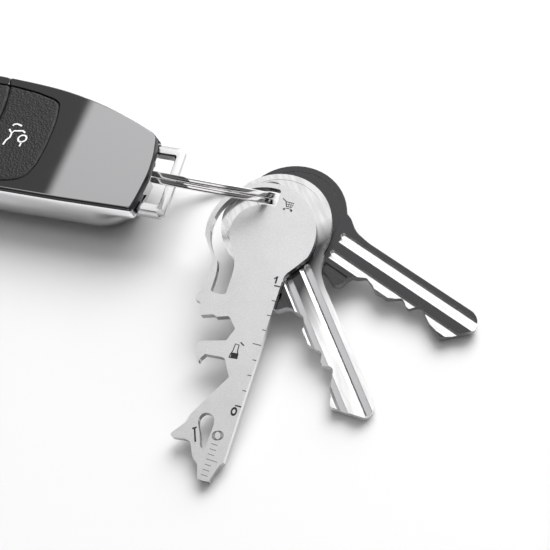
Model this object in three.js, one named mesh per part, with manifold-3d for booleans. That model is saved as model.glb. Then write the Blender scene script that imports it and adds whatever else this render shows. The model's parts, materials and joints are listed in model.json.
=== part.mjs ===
// A bunch of everyday carry pieces on one split ring: a key-shaped multi-tool, two cylinder
// keys and a car remote with its emergency key. Millimetres, +Z up, everything lies on z = 0.
// The remote lies along X with its bail at +X; the ring leans; the three flat pieces are
// stacked parallel to each other on the ring and slope down to their tips.
import * as THREE from 'three';
import { mergeVertices } from 'three/addons/utils/BufferGeometryUtils.js';
import Module from 'manifold-3d';

const wasm = await Module();
wasm.setup();

// ---------- driving dimensions ----------
const GAP = 0.3; // between neighbouring pieces

const RING = {
  outerRadius: 13.5, innerRadius: 12.1, coil: 1.2, slit: 0.08, lean: 54.3, heading: -0.5,
  centre: [17.1, -5.12, 11.55], endGap: 0.06, endsAt: 90, stepsPerTurn: 52,
};

const STACK = {
  tilt: 10.5, downhill: -73.2, // the common slope of the three flat pieces, degrees
  toolThickness: 1.8, keyThickness: 2.2, headTop: [30.69, -14.09, 11.63],
};
const TOOL = { heading: -90.4, headRadius: 11.5, slotInner: 6.4, slotOuter: 10.4, headY: 10.6 };
const SILVER = { heading: -52.9, head: [32.75, -10.5], hole: [29.7, -4.6] };
const DARK = { heading: -22.6, head: [34.8, -6.7], hole: [29.0, -3.4] };
const KEY = { headRadius: 11.6, holeRadius: 3.25, grooveDepth: 0.75 };

const FOB = {
  floor: 1.4, trayTop: 11.7, bandBottom: 2.6, bandTop: 11.7, coverBottom: 12.0, coverTop: 13.8,
  bandWall: 2.2, trayWall: 1.2, seamRadius: 39, seamX: -38.8, seamY: -1.5, padPitch: 13.5,
  padClearance: 0.2, nose: { x: -9.5, y: -6.2, reachX: 11.7, reachY: 10.1 },
  innerPull: 1.65,
};
const CELL = { x: -52, y: -1, radius: 10, bottom: 1.7, height: 3.2 };
const BAIL = {
  y: [-14.7, 4.3], z: [9.7, 11.6], endX: [8.9, 7.2], rim: 0.9, // endX: at the low and high y
  windowX: 0.6, windowY: [-11.7, 1.5], windowEndX: [6.7, 5.55],
};
const BLADE = { x: [-38, -5.3], y: [-8.0, -1.2], z: [2.6, 4.4] };
const SLIDER = { x: [-21, -15], y: [1.0, 4.6], travel: 2.0 };

// ---------- helpers ----------
const degrees = THREE.MathUtils.degToRad;
const vec = (x, y) => new THREE.Vector2(x, y);

function arcPoints(cx, cy, radius, from, to, steps) {
  return Array.from({ length: steps + 1 }, (_, i) => {
    const angle = degrees(from + ((to - from) * i) / steps);
    return [cx + radius * Math.cos(angle), cy + radius * Math.sin(angle)];
  });
}

function smooth(points, steps) {
  const curve = new THREE.SplineCurve(points.map(([x, y]) => vec(x, y)));
  return curve.getPoints(steps).map((p) => [p.x, p.y]);
}

function closedOutline(...stretches) {
  const points = stretches.flat().filter((p, i, all) => {
    const before = all[(i + all.length - 1) % all.length];
    return Math.hypot(p[0] - before[0], p[1] - before[1]) > 0.02;
  });
  return points;
}

// Moves a convex outline inwards: every edge's line is shifted, and each point slides along
// its own ray from the middle to the nearest shifted line, so the point count stays the same.
// With a nose, { x, y, reachX, reachY }, tangents of that ellipse trim the +X end as well.
function inset(points, distance, nose) {
  const count = points.length;
  const middle = [0, 1].map((k) => points.reduce((sum, p) => sum + p[k], 0) / count);
  const edges = points.map((p, i) => {
    const next = points[(i + 1) % count];
    const length = Math.hypot(next[0] - p[0], next[1] - p[1]);
    const normal = [(next[1] - p[1]) / length, (p[0] - next[0]) / length];
    const reach = (p[0] - middle[0]) * normal[0] + (p[1] - middle[1]) * normal[1];
    return { normal, reach: reach - distance };
  });
  for (let angle = -88; nose && angle <= 40; angle += 8) {
    const normal = [Math.cos(degrees(angle)), Math.sin(degrees(angle))];
    const offset = (nose.x - middle[0]) * normal[0] + (nose.y - middle[1]) * normal[1];
    const bulge = Math.hypot(nose.reachX * normal[0], nose.reachY * normal[1]);
    edges.push({ normal, reach: offset + bulge });
  }
  return points.map((p) => {
    const ray = [p[0] - middle[0], p[1] - middle[1]];
    const scales = edges.map(({ normal, reach }) => {
      const facing = ray[0] * normal[0] + ray[1] * normal[1];
      return facing > 1e-6 ? reach / facing : Infinity;
    });
    const scale = Math.min(...scales);
    return [middle[0] + ray[0] * scale, middle[1] + ray[1] * scale];
  });
}

function shapeOf(points, holes = []) {
  const shape = new THREE.Shape(points.map(([x, y]) => vec(x, y)));
  shape.holes = holes.map((hole) => new THREE.Path(hole.map(([x, y]) => vec(x, y))));
  return shape;
}

function extrude(points, bottom, top, holes = []) {
  const options = { depth: top - bottom, bevelEnabled: false };
  return new THREE.ExtrudeGeometry(shapeOf(points, holes), options).translate(0, 0, bottom);
}

// A closed skin through equal-length loops, each [points, z], with flat ends.
function loft(loops) {
  const count = loops[0][0].length;
  const positions = loops.flatMap(([points, z]) => points.flatMap(([x, y]) => [x, y, z]));
  const index = [];
  for (let level = 0; level + 1 < loops.length; level += 1) {
    for (let i = 0; i < count; i += 1) {
      const j = (i + 1) % count;
      const low = level * count;
      const high = low + count;
      index.push(low + i, low + j, high + j, low + i, high + j, high + i);
    }
  }
  const caps = [[0, true], [loops.length - 1, false]];
  for (const [level, flipped] of caps) {
    const contour = loops[level][0].map(([x, y]) => vec(x, y));
    for (const [a, b, c] of THREE.ShapeUtils.triangulateShape(contour, [])) {
      const base = level * count;
      if (flipped) index.push(base + a, base + c, base + b);
      else index.push(base + a, base + b, base + c);
    }
  }
  const geometry = new THREE.BufferGeometry();
  geometry.setAttribute('position', new THREE.Float32BufferAttribute(positions, 3));
  geometry.setIndex(index);
  return geometry;
}

function box(x, y, z) {
  const geometry = new THREE.BoxGeometry(x[1] - x[0], y[1] - y[0], z[1] - z[0]);
  return geometry.translate((x[0] + x[1]) / 2, (y[0] + y[1]) / 2, (z[0] + z[1]) / 2);
}

function disc(x, y, radius, bottom, top, segments = 32) {
  return extrude(arcPoints(x, y, radius, 0, 360, segments).slice(0, -1), bottom, top);
}

function solid(geometry) {
  const bare = geometry.clone();
  bare.deleteAttribute('normal');
  bare.deleteAttribute('uv');
  const merged = mergeVertices(bare, 1e-4);
  return new wasm.Manifold(new wasm.Mesh({
    numProp: 3,
    vertProperties: new Float32Array(merged.attributes.position.array),
    triVerts: new Uint32Array(merged.index.array),
  }));
}

function geometryOf(manifold) {
  const mesh = manifold.getMesh();
  const geometry = new THREE.BufferGeometry();
  geometry.setAttribute('position', new THREE.Float32BufferAttribute(mesh.vertProperties, 3));
  geometry.setIndex(Array.from(mesh.triVerts));
  return geometry;
}

function cut(geometry, ...tools) {
  return geometryOf(tools.reduce((body, tool) => body.subtract(solid(tool)), solid(geometry)));
}

function join(geometry, ...others) {
  return geometryOf(others.reduce((body, other) => body.add(solid(other)), solid(geometry)));
}

function common(geometry, other) {
  return geometryOf(solid(geometry).intersect(solid(other)));
}

function piece(name, geometry, color, metalness, roughness) {
  const material = new THREE.MeshStandardMaterial({ color, metalness, roughness });
  geometry.computeVertexNormals();
  const mesh = new THREE.Mesh(geometry, material);
  mesh.name = name;
  return mesh;
}

// ---------- split ring: one square wire wound twice, ends lying flat on the coils ----------
function splitRing() {
  const { outerRadius, innerRadius, coil, slit, endGap, stepsPerTurn } = RING;
  const steps = 2 * stepsPerTurn;
  const pitch = coil + slit;
  const positions = [];
  const index = [];
  for (let i = 0; i <= steps; i += 1) {
    // The wire steps over to the second coil in the middle of its length, between its ends.
    const turn = endGap + ((2 - 2 * endGap) * i) / steps;
    const angle = degrees(RING.endsAt) + turn * 2 * Math.PI;
    const ramp = THREE.MathUtils.smoothstep(turn, 1 - endGap * 0.75, 1 + endGap * 0.75);
    const level = (ramp - 0.5) * pitch;
    const trim = i === 0 || i === steps ? 0.25 : 0;
    for (const [radius, side] of [[innerRadius, -1], [outerRadius, -1], [outerRadius, 1], [innerRadius, 1]]) {
      const half = (side * coil) / 2;
      const r = radius + (radius === innerRadius ? trim : -trim);
      positions.push(r * Math.cos(angle), r * Math.sin(angle), level + half);
    }
  }
  for (let i = 0; i < steps; i += 1) {
    for (let side = 0; side < 4; side += 1) {
      const a = i * 4 + side;
      const b = i * 4 + ((side + 1) % 4);
      index.push(a, b + 4, b, a, a + 4, b + 4);
    }
  }
  const last = steps * 4;
  index.push(0, 1, 2, 0, 2, 3, last, last + 2, last + 1, last, last + 3, last + 2);
  const geometry = new THREE.BufferGeometry();
  geometry.setAttribute('position', new THREE.Float32BufferAttribute(positions, 3));
  geometry.setIndex(index);
  const mesh = piece('split_ring', geometry, 0xd8d8da, 1, 0.18);
  mesh.rotation.set(degrees(RING.lean) * -1, 0, degrees(RING.heading), 'ZXY');
  mesh.position.set(...RING.centre);
  return mesh;
}

// ---------- multi-tool: x across the shank, y towards the head, z = 0 is the top face ----------
function toolOutline() {
  const { headRadius, headY } = TOOL;
  const edge = 7.55;
  const neck = [[11.05, 7.43], [10.0, 5.9], [9.1, 4.6], [8.2, 3.4], [7.7, 2.4], [edge, 1.0]];
  const mirrored = neck.map(([x, y]) => [-x, y]);
  return closedOutline(
    smooth([...neck].reverse(), 10),
    arcPoints(0, headY, headRadius, -16, 196, 44),
    smooth(mirrored, 10),
    // small screwdriver bump on the left edge
    smooth([[-edge, -4.5], [-7.96, -4.83], [-8.31, -5.41], [-8.38, -6.3], [-8.21, -6.76]], 5),
    smooth([[-7.55, -6.8], [-7.15, -7.01], [-7.0, -7.35]], 3),
    smooth([[-6.43, -9.2], [-6.3, -9.5], [-6.0, -9.55]], 3),
    // upper wrench notch, two steps of jaw width
    smooth([[-3.75, -8.86], [-3.34, -8.95], [-2.94, -9.2]], 3),
    [[-1.89, -8.85]],
    smooth([[-0.9, -8.52], [-0.6, -8.48], [-0.3, -8.66]], 3),
    [[1.48, -10.62], [0.56, -13.38]],
    [[-4.5, -14.77]],
    smooth([[-4.75, -14.9], [-4.9, -15.15], [-4.86, -15.7]], 3),
    // cap-lifter hook
    smooth([[-4.56, -17.2], [-4.2, -18.3], [-3.75, -18.83], [-3.42, -18.8], [-3.33, -18.15],
      [-2.9, -17.5], [-2.7, -17.12]], 9),
    [[-2.45, -17.08]],
    smooth([[0.85, -16.87], [1.3, -16.97], [1.59, -17.29]], 3),
    [[3.39, -20.37]],
    smooth([[-1.5, -29.2], [-1.68, -29.8], [-1.78, -30.5], [-2.05, -31.15]], 5),
    smooth([[-3.9, -33.55], [-3.98, -33.95], [-3.75, -34.25], [-3.35, -34.38]], 5),
    smooth([[-1.1, -34.08], [-0.45, -34.12], [0.05, -34.33], [0.4, -34.75]], 5),
    smooth([[1.45, -36.8], [1.85, -37.3], [2.4, -37.58], [2.8, -37.95]], 5),
    [[3.7, -40.4]],
    smooth([[3.85, -40.58], [4.6, -40.62], [5.9, -40.55], [6.05, -40.3]], 5),
    smooth([[6.75, -37.8], [7.0, -37.1], [7.45, -36.6], [edge, -36.0]], 5),
  );
}

function toolSlot() {
  const { slotInner, slotOuter, headY } = TOOL;
  const endX = 1.45;
  const startOuter = 90 - THREE.MathUtils.radToDeg(Math.asin(endX / slotOuter));
  const startInner = 90 - THREE.MathUtils.radToDeg(Math.asin(endX / slotInner));
  const corner = 0.3;
  return closedOutline(
    [[endX, headY + slotInner + corner]],
    [[endX, headY + slotOuter - corner - 0.1]],
    arcPoints(0, headY, slotOuter, startOuter + 2, 222, 26),
    smooth([[-6.75, 2.6], [-6.25, 1.2], [-5.98, -0.6]], 6),
    smooth([[-5.93, -3.8], [-5.73, -4.15], [-5.3, -4.38]], 4),
    smooth([[-3.3, -4.38], [-2.9, -4.2], [-2.65, -3.8]], 4),
    smooth([[-2.72, -0.5], [-2.8, 1.6], [-3.25, 3.2], [-3.7, 4.25]], 6),
    arcPoints(0, headY, slotInner, 222, startInner + 3, 22),
  );
}

function toolTeardrop() {
  return closedOutline(
    smooth([[3.4, -34.35], [3.42, -32], [3.5, -30.5], [3.33, -29.2], [2.85, -28.5], [1.9, -28.15],
      [0.95, -28.4], [0.4, -29.2], [0.38, -30.2], [0.75, -31.1], [1.3, -32.1], [1.85, -33.5],
      [2.3, -34.6]], 34),
    smooth([[2.3, -34.6], [2.6, -34.88], [3.0, -34.93], [3.3, -34.7]], 4),
  );
}

function multiTool() {
  const bottom = -STACK.toolThickness;
  const plate = extrude(toolOutline(), bottom, 0, [toolSlot(), toolTeardrop()]);
  const mesh = piece('multi_tool', plate, 0xd6d6d6, 0.9, 0.42);
  mesh.rotation.z = degrees(TOOL.heading + 90);
  mesh.geometry.translate(0, -TOOL.headY, 0);
  return mesh;
}

// ---------- cylinder key: x from the head's centre to the tip, y up to its straight back ----------
function keyOutline() {
  return closedOutline(
    arcPoints(0, 0, KEY.headRadius, 36, 326, 44),
    smooth([[10.6, -6.35], [12.2, -6.5], [13.6, -6.35], [15.1, -6.75], [16.4, -7.4], [17.4, -7.3],
      [18.05, -6.7], [18.3, -5.8], [18.35, -4.7]], 14),
    [[18.9, -3.75]],
    // cuts of the key's code
    smooth([[19.7, -3.4], [20.5, -2.75], [20.9, -2.32], [21.4, -2.2]], 4),
    [[22.4, -2.55], [23.2, -2.8]],
    smooth([[24.4, -3.55], [25.2, -3.6], [25.9, -3.3], [26.8, -3.55], [27.4, -3.35]], 5),
    [[28.2, -2.7]],
    smooth([[29.1, -1.95], [29.5, -1.65], [29.9, -1.62], [30.7, -2.05]], 4),
    smooth([[31.2, -2.45], [31.7, -2.62], [32.1, -2.55]], 2),
    smooth([[33.0, -1.3], [33.5, -0.95], [34.0, -0.85], [34.6, -1.1]], 4),
    [[35.5, -1.8], [36.5, -2.35]],
    smooth([[37.3, -2.85], [37.9, -3.0], [38.9, -3.2], [39.4, -3.6]], 3),
    [[40.3, -4.0]],
    smooth([[40.8, -3.9], [42.4, -2.1], [44.3, 0.1], [44.9, 0.9], [45.0, 1.7], [44.6, 2.8],
      [43.6, 3.75], [42.5, 4.1]], 12),
    [[17.5, 4.05]],
    smooth([[17.5, 4.05], [14.2, 4.45], [12.4, 5.25], [10.9, 6.3], [9.38, 6.82]], 8),
  );
}

// One milled groove: a flat floor with one steep wall and one sloping wall.
function groove(startX, steepY, floorY, slopeY, endX) {
  const depth = KEY.grooveDepth;
  const section = shapeOf([
    [steepY, 0.2], [steepY, -depth], [floorY, -depth], [slopeY, 0], [slopeY, 0.2],
  ]);
  const options = { depth: endX - startX, bevelEnabled: false };
  const channel = new THREE.ExtrudeGeometry(section, options);
  channel.rotateX(Math.PI / 2).rotateZ(Math.PI / 2);
  channel.translate(startX, 0, 0);
  const width = Math.abs(steepY - floorY) / 2;
  const run = disc(startX, (steepY + floorY) / 2, width, -depth, 0.2, 16);
  return [channel, run];
}

function keyGeometry(hole) {
  const thickness = STACK.keyThickness;
  const plate = extrude(keyOutline(), -thickness, 0);
  const rim = cut(
    disc(0, 0, 10.35, -0.12, 0.2, 44),
    disc(0, 0, 10.05, -0.3, 0.4, 44),
  );
  return cut(
    plate,
    disc(hole[0], hole[1], KEY.holeRadius, -thickness - 1, 1, 32),
    rim,
    ...groove(11.9, 3.0, 1.75, 0.65, 47),
    ...groove(12.4, -1.35, -2.45, -3.35, 47),
    box([12.6, 18.2], [-5.4, -4.45], [-0.5, 0.2]),
  );
}

function flatKey(name, data, level, color, roughness) {
  const offset = stackPlane(data.head);
  const hole = stackPlane(data.hole);
  const local = hole.clone().sub(offset).rotateAround(vec(0, 0), -degrees(data.heading));
  const mesh = piece(name, keyGeometry([local.x, local.y]), color, 0.95, roughness);
  mesh.rotation.z = degrees(data.heading);
  mesh.position.set(offset.x, offset.y, level);
  return mesh;
}

// Where a plan position of the bunch lies in the stack's own sloping plane.
function stackPlane([x, y]) {
  const flat = vec(x - STACK.headTop[0], y - STACK.headTop[1]);
  flat.rotateAround(vec(0, 0), -degrees(STACK.downhill));
  flat.x /= Math.cos(degrees(STACK.tilt));
  return flat.rotateAround(vec(0, 0), degrees(STACK.downhill));
}

function flatStack() {
  const group = new THREE.Group();
  const downhill = degrees(STACK.downhill);
  const axis = new THREE.Vector3(-Math.sin(downhill), Math.cos(downhill), 0);
  group.quaternion.setFromAxisAngle(axis, degrees(STACK.tilt));
  group.position.set(...STACK.headTop);
  const silverLevel = -STACK.toolThickness - GAP;
  const darkLevel = silverLevel - STACK.keyThickness - GAP;
  group.add(
    multiTool(),
    flatKey('silver_key', SILVER, silverLevel, 0xcfcfd2, 0.16),
    flatKey('dark_key', DARK, darkLevel, 0x4a4a4c, 0.22),
  );
  return group;
}

// ---------- car remote ----------
function fobOutline() {
  return closedOutline(
    smooth([[1.6, -16.3], [2.25, -15.9], [2.55, -15.2]], 4),
    smooth([[2.75, -13], [2.85, -10], [2.8, -5.5], [2.1, -0.8], [1.1, 3.0]], 9),
    smooth([[0.75, 4.1], [0.1, 5.0], [-1.0, 5.8]], 3),
    smooth([[-5.5, 7.8], [-13.1, 10.6], [-20.6, 12.7], [-29.5, 14.3], [-42.8, 15.3], [-54, 15.3],
      [-64, 13.6], [-71, 10], [-75.2, 4.5], [-76.4, -1.5], [-75, -8], [-70.5, -13.6], [-63, -16.9],
      [-53, -17.9], [-42, -17.7], [-29.1, -17.25], [-20, -16.9], [-10.6, -16.6], [-2, -16.4]], 48),
  );
}

function seamBand(fromX, toX, bottom, top) {
  // The region between two parallel seams that bow towards the bail.
  const { seamRadius, seamY } = FOB;
  const right = arcPoints(toX - seamRadius, seamY, seamRadius, -32, 32, 14);
  const left = arcPoints(fromX - seamRadius, seamY, seamRadius, 32, -32, 14);
  return extrude([...right, ...left], bottom, top);
}

const outline = fobOutline();
const padOutline = closedOutline(
  smooth([[-23.7, -3.3], [-24.6, 3.5], [-26.0, 8.4], [-27.0, 9.8], [-28.6, 10.6]], 8),
  smooth([[-33.3, 11.7], [-42, 12.6], [-54, 12.4], [-62, 10.9], [-67.5, 8], [-71, 3.5], [-72, -1.5],
    [-70.8, -6.5], [-67, -11], [-61, -14], [-52, -15.1], [-42, -15.2], [-30.5, -14.9]], 30),
  smooth([[-28.2, -14.4], [-26.2, -13.6], [-24.5, -12.0], [-23.6, -8.6]], 6),
);

function coverBlank() {
  const { coverBottom, coverTop } = FOB;
  return loft([
    [inset(outline, 0.3), coverBottom],
    [inset(outline, 0.25), coverBottom + 0.5],
    [inset(outline, 0.7), coverBottom + 1.1],
    [inset(outline, 1.6), coverBottom + 1.5],
    [inset(outline, 2.2), coverTop - 0.1],
  ]);
}

function topCovers() {
  const { coverBottom, seamX } = FOB;
  const blank = cut(coverBlank(), extrude(padOutline, coverBottom - 1, coverBottom + 4));
  const low = coverBottom - 2;
  const high = coverBottom + 6;
  const front = common(blank, seamBand(seamX + 0.1, FAR, low, high));
  const rear = common(blank, seamBand(-FAR, seamX - 0.1, low, high));
  return [
    piece('top_cover_front', front, 0x4a4b4e, 0.7, 0.12),
    piece('top_cover_rear', rear, 0x4a4b4e, 0.7, 0.12),
  ];
}

// Each button's pad lies between two seams; FAR is past the ends of the remote.
const FAR = 100;
const SECOND_SEAM = FOB.seamX - FOB.padPitch;
const BUTTONS = [
  { name: 'boot', seams: [FOB.seamX, FAR], x: -31, y: -1.5 },
  { name: 'unlock', seams: [SECOND_SEAM, FOB.seamX], x: -45.5, y: -1.5 },
  { name: 'lock', seams: [-FAR, SECOND_SEAM], x: -60, y: -1.5 },
];

function button({ name, seams, x, y }) {
  const { coverBottom, coverTop, padClearance } = FOB;
  const pads = extrude(inset(padOutline, padClearance), coverBottom + 0.1, coverTop);
  const clear = padClearance / 2;
  const between = seamBand(seams[0] + clear, seams[1] - clear, coverBottom - 1, coverTop + 1);
  const half = 2.2;
  const plunger = box([x - half, x + half], [y - half, y + half], [9.95, coverBottom + 0.2]);
  return piece(`${name}_button`, join(common(pads, between), plunger), 0x1e1e1f, 0, 0.75);
}

// The body under the cover draws back and rounds off at the bail end as it gets lower.
function bodyLoop(distance, pull = FOB.innerPull) {
  const { x, y, reachX, reachY } = FOB.nose;
  return inset(outline, distance, { x, y, reachX: reachX - pull - distance, reachY: reachY - distance });
}

function chromeSurround() {
  const { bandBottom, bandTop, bandWall } = FOB;
  const outer = loft([
    [bodyLoop(1.9, 1.6), bandBottom],
    [bodyLoop(0.9, 1.5), bandBottom + 1.2],
    [bodyLoop(0.25, 1.25), bandBottom + 3.0],
    [bodyLoop(0, 0.7), bandBottom + 5.4],
    [inset(outline, 0.15), bandTop - 1.2],
    [inset(outline, 0.45), bandTop],
  ]);
  const bore = extrude(bodyLoop(bandWall), 0, 20);
  return piece('chrome_surround', cut(outer, bore, ...bailPassage()), 0xd9dadc, 1, 0.12);
}

function bailPassage() {
  const clear = 0.3;
  const head = box([-9, 12], [BAIL.y[0] - clear, BAIL.y[1] + clear], [BAIL.z[0] - clear, 20]);
  const tang = box([-9, 12], [BLADE.y[0] - 0.6, BLADE.y[1] + 0.6], [BLADE.z[0] - 0.5, 12]);
  return [head, tang];
}

function housingTray() {
  const { floor, trayTop, trayWall, bandWall, bandBottom } = FOB;
  const wall = bandWall + GAP;
  const outer = loft([
    [bodyLoop(5.2), 0],
    [bodyLoop(3.6), 0.6],
    [bodyLoop(wall), bandBottom - GAP],
    [bodyLoop(wall), trayTop],
  ]);
  const cavity = extrude(bodyLoop(wall + trayWall), floor, 20);
  const door = disc(CELL.x, CELL.y, 11.9, -1, 2, 40);
  const slideWay = box([SLIDER.x[0] - SLIDER.travel - 0.4, SLIDER.x[1] + 0.4],
    [SLIDER.y[0] - 0.3, SLIDER.y[1] + 0.3], [-1, 2]);
  return piece('housing_tray', cut(outer, cavity, door, slideWay, ...bailPassage()), 0x1b1b1c, 0, 0.5);
}

function batteryCover() {
  const cover = cut(
    disc(CELL.x, CELL.y, 11.6, 0.05, 1.35, 40),
    box([CELL.x - 4, CELL.x + 4], [CELL.y - 0.9, CELL.y + 0.9], [-1, 0.75]),
  );
  return piece('battery_cover', cover, 0x1d1d1e, 0, 0.5);
}

function electronics() {
  const board = cut(
    extrude(bodyLoop(4.2), 5.9, 6.7),
    box([-8, 12], [-40, 40], [0, 20]),
  );
  const membrane = common(
    extrude(bodyLoop(4.1), 8.7, 9.5),
    box([-90, -22], [-40, 40], [0, 20]),
  );
  const switches = BUTTONS.map(({ name, x, y }) => {
    const half = 2.25;
    const can = box([x - half, x + half], [y - half, y + half], [7.0, 8.1]);
    const plunger = disc(x, y, 1.1, 8.0, 8.4, 16);
    return piece(`${name}_switch`, join(can, plunger), 0xb0b0b0, 0.6, 0.4);
  });
  const cellTop = CELL.bottom + CELL.height;
  const cell = cut(
    disc(CELL.x, CELL.y, CELL.radius, CELL.bottom, cellTop, 40),
    cut(
      disc(CELL.x, CELL.y, CELL.radius + 1, cellTop - 0.4, cellTop + 1, 40),
      disc(CELL.x, CELL.y, CELL.radius - 1.2, cellTop - 1, cellTop + 2, 40),
    ),
  );
  const leaf = join(
    box([CELL.x - 5, CELL.x + 5], [CELL.y - 2, CELL.y + 2], [5.3, 5.6]),
    box([CELL.x - 1.5, CELL.x + 1.5], [CELL.y - 2, CELL.y + 2], [5.15, 5.4]),
  );
  const edge = CELL.x + CELL.radius;
  const clip = box([edge + 0.4, edge + 0.8], [CELL.y - 3, CELL.y + 3], [1.8, 5.6]);
  return [
    piece('circuit_board', board, 0x1f5a34, 0, 0.5),
    piece('keypad_membrane', membrane, 0x2a2a2a, 0, 0.8),
    ...switches,
    piece('coin_cell', cell, 0xc4c4c6, 1, 0.3),
    piece('battery_contact_negative', leaf, 0xc9b37a, 1, 0.35),
    piece('battery_contact_positive', clip, 0xc9b37a, 1, 0.35),
    piece('transponder_coil', box([-21, -12], [1.0, 4.0], [7.0, 9.6]), 0x6a4a30, 0.2, 0.5),
    piece('radio_chip', box([-18, -12], [-9, -3], [7.0, 8.0]), 0x202022, 0, 0.4),
  ];
}

function emergencyKey() {
  // A loop with a slanting end: fromX is its straight side, endX its far side at low and high y.
  const loop = (fromX, endX, y, grow, trim) => [
    [fromX - grow, y[0] - grow], [endX[0] + grow - trim, y[0] - grow],
    [endX[0] + grow, y[0] - grow + trim], [endX[1] + grow, y[1] + grow - trim],
    [endX[1] + grow - trim, y[1] + grow], [fromX - grow, y[1] + grow],
  ];
  const { rim, z } = BAIL;
  const outer = (grow) => loop(-4.2 + grow, BAIL.endX, BAIL.y, grow, 1.0);
  const frame = loft([
    [outer(-0.4), z[0]],
    [outer(0), z[0] + 0.4],
    [outer(0), z[1] - rim * 0.7],
    [outer(-rim), z[1]],
  ]);
  const window = (grow) => loop(BAIL.windowX, BAIL.windowEndX, BAIL.windowY, grow, 0.4);
  const opening = loft([
    [window(0), z[0] - 1],
    [window(0), z[1] - 0.4],
    [window(0.3), z[1] + 0.01],
    [window(0.3), z[1] + 1],
  ]);
  const tang = box([-4.6, -1.2], BLADE.y, [BLADE.z[0] - 0.2, z[0] + 0.6]);
  const head = join(cut(frame, opening), tang);
  const [x0, x1] = BLADE.x;
  const [y0, y1] = BLADE.y;
  const bladeOutline = closedOutline(
    [[x1, y0], [x1, y1], [x0 + 3, y1], [x0, (y0 + y1) / 2], [x0 + 3, y0]],
  );
  const blade = cut(
    extrude(bladeOutline, BLADE.z[0], BLADE.z[1]),
    box([x0 - 1, x1 - 6], [-5.2, -4.0], [BLADE.z[1] - 0.8, BLADE.z[1] + 1]),
  );
  return [
    piece('emergency_key_head', head, 0xe6e6e8, 1, 0.12),
    piece('emergency_key_blade', blade, 0xbdbdc0, 1, 0.3),
  ];
}

function release() {
  const [x0, x1] = SLIDER.x;
  const [y0, y1] = SLIDER.y;
  const slider = join(
    box([x0, x1], [y0, y1], [0.1, 1.75]),
    box([x0 - 0.8, x1 + 0.8], [y0 - 1, y1 + 1], [1.7, 2.4]),
  );
  const grip = [1.5, 3.0, 4.5].map((dx) => box([x0 + dx, x0 + dx + 0.5], [y0 - 1, y1 + 1], [0, 0.4]));
  // A small compression spring lying along X behind the slider.
  class Helix extends THREE.Curve {
    getPoint(t, target = new THREE.Vector3()) {
      const angle = t * 5 * 2 * Math.PI;
      const length = 5.2;
      return target.set(x0 - 1.4 - length * (1 - t), (y0 + y1) / 2 + Math.cos(angle) * 0.9,
        2.75 + Math.sin(angle) * 0.9);
    }
  }
  const wire = new THREE.Shape(arcPoints(0, 0, 0.16, 0, 360, 6).slice(0, -1).map(([x, y]) => vec(x, y)));
  const spring = new THREE.ExtrudeGeometry(wire, { steps: 60, extrudePath: new Helix() });
  return [
    piece('release_slider', cut(slider, ...grip), 0x2a2a2b, 0, 0.5),
    piece('release_spring', geometryOf(solid(spring)), 0xb8b8ba, 1, 0.3),
  ];
}

// ---------- the bunch, centred over its own footprint ----------
const bunch = new THREE.Group();
bunch.add(
  housingTray(),
  chromeSurround(),
  ...topCovers(),
  ...BUTTONS.map(button),
  ...electronics(),
  batteryCover(),
  ...emergencyKey(),
  ...release(),
  splitRing(),
  flatStack(),
);

const object = new THREE.Group();
object.add(bunch);
object.updateMatrixWorld(true);
const extent = new THREE.Box3().setFromObject(bunch, true);
const middle = extent.getCenter(new THREE.Vector3());
bunch.position.set(-middle.x, -middle.y, -extent.min.z);

export default object;
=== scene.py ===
"""A bunch of everyday carry pieces on one split ring, lying on a pale table under soft light.

Lengths in this file are millimetres in the bench frame, in which the remote lies along X with
its bail at +X; row() turns them into the frame's metres.
"""

import json
import math

import bmesh
import bpy
import numpy as np
from mathutils import Matrix, Vector, geometry, noise


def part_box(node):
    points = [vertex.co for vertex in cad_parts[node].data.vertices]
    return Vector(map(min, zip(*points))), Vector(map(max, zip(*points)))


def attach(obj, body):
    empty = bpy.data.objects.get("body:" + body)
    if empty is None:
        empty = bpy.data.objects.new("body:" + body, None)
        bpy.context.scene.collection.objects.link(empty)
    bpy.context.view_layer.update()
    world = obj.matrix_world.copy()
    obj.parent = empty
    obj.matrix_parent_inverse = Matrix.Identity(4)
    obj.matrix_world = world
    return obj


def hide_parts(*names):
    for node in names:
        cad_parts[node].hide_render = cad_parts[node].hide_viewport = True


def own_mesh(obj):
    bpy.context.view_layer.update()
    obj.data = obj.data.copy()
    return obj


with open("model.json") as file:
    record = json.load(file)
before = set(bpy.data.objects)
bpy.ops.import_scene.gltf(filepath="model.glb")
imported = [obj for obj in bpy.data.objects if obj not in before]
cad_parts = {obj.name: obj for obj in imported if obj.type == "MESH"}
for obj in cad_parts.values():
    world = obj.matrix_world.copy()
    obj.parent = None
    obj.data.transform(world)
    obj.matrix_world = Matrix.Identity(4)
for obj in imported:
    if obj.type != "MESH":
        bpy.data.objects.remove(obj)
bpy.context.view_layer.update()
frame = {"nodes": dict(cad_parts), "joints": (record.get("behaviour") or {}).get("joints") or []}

MM = 0.001

# ---------- the bench frame, found from the battery cover and the tool's pivot ----------
BATTERY_COVER_MIDDLE = Vector((-52.0, -1.0, 0.7))
cover_low, cover_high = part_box("battery_cover")
SHIFT = (cover_low + cover_high) / 2 - BATTERY_COVER_MIDDLE * MM


def row(point):
    """A bench point in millimetres, as a point of the frame in metres."""
    return Vector(point) * MM + SHIFT


def joint(name):
    return next(j for j in frame["joints"] if j["name"] == name)


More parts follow.
